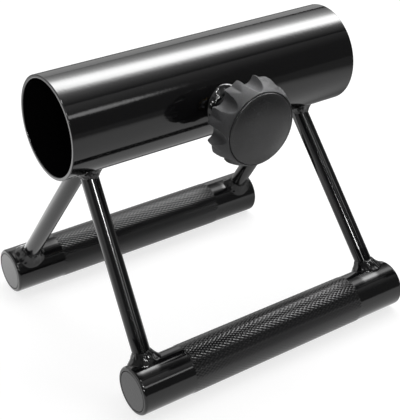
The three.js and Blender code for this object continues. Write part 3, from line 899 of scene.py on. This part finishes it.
below_top = (3.0, 2.2, 1.7, 1.3, 1.0, 0.8, 0.6, 0.45, 0.3, 0.2, 0.12, 0.06, 0.02)
heights = [0.0, 0.3, 2.0, 4.0] + [NUT_HEIGHT - d for d in below_top]
profile = [(0.0, SCREW_BORE), (0.0, 7.0)]
profile += [(height, nut_reach(height)) for height in heights]
profile += [(NUT_HEIGHT, NUT_FLATS / 2 * 0.93), (NUT_HEIGHT, SCREW_BORE + 0.9),
            (NUT_HEIGHT - 0.1, SCREW_BORE + 0.75), (NUT_HEIGHT - 0.75, SCREW_BORE + 0.08),
            (NUT_HEIGHT - 0.95, SCREW_BORE)]
on_nut = on_screw @ Matrix.Translation((0, 0, NUT_FOOT))
nut = mesh_object("welded_nut", turned(profile, 144, closed=True), gloss_black, on_nut)
settle(nut, "clamp_nut", 38)

# %% Weld bead round the nut
shape = bead(SCREW_ROOT, SCREW_AXIS, corner_reach(NUT_FLATS) - 0.6, (0, TUBE_Z, TUBE_RADIUS),
             2.9, 3.6, 30, sections=180, hollow=0.1, toe=0.35, ripple=0.04, pitch=2.3)
settle(mesh_object("nut_bead", shape, gloss_black), "nut_weld")

# %% [markdown]
# The stud has a rolled M10 thread with a pitch of 1.5 mm. It starts as a turned blank with many
# rings, and a Geometry Nodes tree pulls each point in by the thread's rule: a saw of flats and
# flanks that moves on by one pitch for each turn.

# %% Tree of the thread
FLANK = (0.07, 0.42)
rolled_thread, add, given = new_tree("rolled_thread", Float=["Pitch", "Depth", "Crest Radius"])
place = add("GeometryNodeInputPosition")
part = add(SPLIT, place, out=None).outputs
angle = add("ARCTAN2", part["Y"], part["X"])
phase = add("SUBTRACT", add("DIVIDE", part["Z"], given["Pitch"]), add("MULTIPLY", angle, 1 / tau))
flank = add(RANGE, add("PINGPONG", phase, 0.5), *FLANK, **SMOOTH)
thread_radius = add("SUBTRACT", given["Crest Radius"], add("MULTIPLY", flank, given["Depth"]))
reach = add(VECTOR, add(JOIN, part["X"], part["Y"]), out="Value", operation="LENGTH")
share = add("DIVIDE", add("MINIMUM", reach, thread_radius), add("MAXIMUM", reach, 1e-7))
cut_place = add(VECTOR, place, add(JOIN, share, share, 1.0), operation="MULTIPLY")
moved = add("GeometryNodeSetPosition", given["Geometry"], {"Position": cut_place})
end_tree(add, moved, given["Finish"])

# %% Stud
STUD_RADIUS, THREAD_PITCH, THREAD_DEPTH, RING_STEP, TIP = 5.0, 1.5, 0.92, 0.125, 1.0
length = STUD_ROOT - STUD_TIP
ring_count = round(length / RING_STEP)
profile = [(0.0, 0.0), (0.0, 1.8), (0.0, 3.7), (0.15, 4.05), (0.7, 4.7), (TIP, STUD_RADIUS)]
profile += [(TIP + (length - TIP) * i / ring_count, STUD_RADIUS) for i in range(1, ring_count + 1)]
profile += [(length, 3.0), (length, 0.0)]
stud = mesh_object("threaded_stud", turned(profile, 64), zinc_plate)
grow(stud, rolled_thread, {
    "Pitch": THREAD_PITCH * MM, "Depth": THREAD_DEPTH * MM, "Crest Radius": STUD_RADIUS * MM,
    "Finish": zinc_plate,
})
move(stud, on_screw @ Matrix.Translation((0, 0, STUD_TIP)))
settle(stud, "clamp_stud", 50, "stud")

# %% [markdown]
# The insert is a brass hexagon moulded into the knob, bored and threaded for the stud. Only its
# rear face shows, flush with the knob's, with a small lead-in where the thread starts.

# %% Insert
INSERT_FLATS, INSERT_LENGTH, INSERT_FACE = 14.0, 10.0, 6.5


def insert_reach(shrink):
    return lambda angle: hexagon(INSERT_FLATS, angle, 0.15, 0.25) - shrink


EASED = ((0.0, 0.3), (0.08, 0.08), (0.3, 0.0))
profile = [(0.7, SCREW_BORE), (0.1, SCREW_BORE + 0.62), (0.0, SCREW_BORE + 0.8), (0.0, INSERT_FACE)]
profile += [(inset, insert_reach(shrink)) for inset, shrink in EASED]
profile += [(INSERT_LENGTH - inset, insert_reach(shrink)) for inset, shrink in EASED[::-1]]
profile += [(INSERT_LENGTH, INSERT_FACE), (INSERT_LENGTH, SCREW_BORE)]
insert = mesh_object("brass_insert", turned(profile, 96, closed=True), turned_brass, on_knob)
settle(insert, "knob_insert", 38, "knob")

# %% [markdown]
# The knob is a barrel with eight finger flutes. Each is what a slim egg would press into it: widest
# at the rear face, narrower towards the front, and gone just behind the rim. The blank is turned
# with two numbers on each point: the barrel's radius at that height, and how much of the flute's
# cut it takes. A Geometry Nodes tree repeats the flute round the axis.

# %% Tree of the flutes
finger_flutes, add, given = new_tree(
    "finger_flutes", Int=["Flutes"],
    Float=["Cutter Radius", "Cutter Distance", "Cutter Length", "First Angle", "Edge Blend"])
place = add("GeometryNodeInputPosition")
part = add(SPLIT, place, out=None).outputs
angle = add("ARCTAN2", part["Y"], part["X"])
angle = add("SUBTRACT", angle, given["First Angle"])
half_step = add("DIVIDE", pi, given["Flutes"])
off_flute = add("WRAP", angle, half_step, add("MULTIPLY", half_step, -1.0))

# The egg's section shrinks with height, and a ray from the axis meets its skin at this radius.
up_share = add("DIVIDE", part["Z"], given["Cutter Length"])
left_over = add("SUBTRACT", 1.0, add("MULTIPLY", up_share, up_share))
section = add("MULTIPLY", add("POWER", given["Cutter Radius"], 2.0), left_over)
beside = add("MULTIPLY", add("SINE", off_flute), given["Cutter Distance"])
depth = add("SUBTRACT", section, add("POWER", beside, 2.0))
depth = add("SQRT", add("MAXIMUM", depth, 0.0))
ahead = add("MULTIPLY", add("COSINE", off_flute), given["Cutter Distance"])
flute_radius = add("SUBTRACT", ahead, depth)

# What the flute takes off the barrel is taken off each point, by its own share.
LAYERS = ("barrel_radius", "flute_share")
barrel, takes = (add("GeometryNodeInputNamedAttribute", layer) for layer in LAYERS)
kept = add("SMOOTH_MIN", barrel, flute_radius, given["Edge Blend"])
removed = add("MULTIPLY", add("SUBTRACT", barrel, kept), takes)
outward = add(VECTOR, add(JOIN, part["X"], part["Y"]), operation="NORMALIZE")
offset = add(VECTOR, outward, {"Scale": add("MULTIPLY", removed, -1.0)}, operation="SCALE")
moved = add("GeometryNodeSetPosition", given["Geometry"], {"Offset": offset})
end_tree(add, moved, given["Finish"])

# %% Knob
BARREL_RADIUS, BARREL_SHARE, REAR_RADIUS, RIM_RADIUS = 24.9, 0.1, 24.8, 21.0
RECESS_RADIUS, RECESS_DEPTH, CORE_RADIUS, HUB_RADIUS, REAR_WALL = 20.6, 2.0, 17.7, 10.4, 3.4
CUTTER_RADIUS, CUTTER_DISTANCE, CUTTER_LENGTH, FIRST_FLUTE, EDGE_BLEND = 5.05, 25.35, 22.0, 92.5, 0.35
POCKET_DEPTH, POCKET_LIP, REAR_TURN, RIM_TURN = INSERT_LENGTH + 0.3, 0.2, 1.7, 1.0
CUT_FROM, CUT_OVER = 18.0, 2.0


def barrel_radius(height):
    """A shallow curve from the rear edge to the widest place and in again to the rim."""
    widest = KNOB_HEIGHT * BARREL_SHARE
    if height < widest:
        return BARREL_RADIUS - (BARREL_RADIUS - REAR_RADIUS) * (1 - height / widest) ** 2
    share = (height - widest) / (KNOB_HEIGHT - widest)
    return BARREL_RADIUS - (BARREL_RADIUS - RIM_RADIUS) * share ** 2


def pocket(angle):
    return hexagon(INSERT_FLATS + 0.6, angle)


seat, rim_start = KNOB_HEIGHT - RECESS_DEPTH, KNOB_HEIGHT - RIM_TURN
rear_edge = rounded([
    (0, 17.9, 0), (0, barrel_radius(0), 0.7), (-REAR_TURN, barrel_radius(REAR_TURN), 0),
])
rim = rounded([
    (rim_start, barrel_radius(rim_start), 0), (KNOB_HEIGHT, RIM_RADIUS, 0.33),
    (KNOB_HEIGHT, RECESS_RADIUS, 0.03), (seat, RECESS_RADIUS, 0),
])
profile = [(POCKET_DEPTH, 0), (POCKET_DEPTH, pocket), (0.3, pocket),
           (0.0, lambda angle: pocket(angle) + POCKET_LIP), (0.0, 10.5)]
profile += [(-p.x, p.y) for p in rear_edge]
profile += [(h, barrel_radius(h)) for h in np.linspace(REAR_TURN, rim_start, 46)[1:-1]]
profile += [tuple(p) for p in rim]
profile += [(seat, CORE_RADIUS), (REAR_WALL, CORE_RADIUS), (REAR_WALL, HUB_RADIUS),
            (seat, HUB_RADIUS), (seat, 0)]
points, faces = turned(profile, 336)
knob = mesh_object("fluted_knob", (points, faces), knob_nylon)
barrel_layer, share_layer = (knob.data.attributes.new(layer, "FLOAT", "POINT") for layer in LAYERS)
for i, (x, y, height) in enumerate(points):
    reach = hypot(x, y)
    barrel_layer.data[i].value = barrel_radius(min(max(height, 0), KNOB_HEIGHT)) * MM
    out = min(max((reach - CUT_FROM) / CUT_OVER, 0), 1)
    in_recess = height > seat - 0.01 and reach < RECESS_RADIUS + 0.01
    share_layer.data[i].value = 0 if in_recess else out * out * (3 - 2 * out)
grow(knob, finger_flutes, {
    "Flutes": 8, "Cutter Radius": CUTTER_RADIUS * MM, "Cutter Distance": CUTTER_DISTANCE * MM,
    "Cutter Length": CUTTER_LENGTH * MM, "First Angle": radians(FIRST_FLUTE),
    "Edge Blend": EDGE_BLEND * MM, "Finish": knob_nylon,
})
for layer in LAYERS:
    knob.data.attributes.remove(knob.data.attributes[layer])
move(knob, on_knob)
settle(knob, "knob_body", 38, "knob")

# %% [markdown]
# The cap snaps into the knob's front. It is a shallow dome with a soft edge, and a dark gap line
# runs round it.

# %% Cap
CAP_RADIUS, CAP_PROUD, CAP_DOME, DOME_POWER, CAP_LIP = 20.3, 0.6, 2.9, 2.7, 0.6
cap_seat, shoulder = seat + 0.3, KNOB_HEIGHT + CAP_PROUD
dome = [(shoulder + CAP_DOME * (1 - share ** DOME_POWER), (CAP_RADIUS - CAP_LIP) * share)
        for share in np.linspace(0.97, 0, 22)]
edge = rounded([
    (cap_seat, 0, 0), (cap_seat, CAP_RADIUS, 0.2), (shoulder + 0.02, CAP_RADIUS, 0.9), dome[0] + (0,),
])
cap_profile = [tuple(p) for p in edge[:-1]] + dome
cap = mesh_object("domed_cap", turned(cap_profile, 160), cap_nylon, on_knob)
settle(cap, "knob_cap", 45, "knob")

# %% [markdown]
# Last, the two boxes are printed side by side: the CAD model's, and the dressed model's.

# %% Finish
dressed_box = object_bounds()
for label, low_high in (("CAD", cad_box), ("dressed", dressed_box)):
    print(label, [[round(c / MM, 2) for c in corner] for corner in low_high])
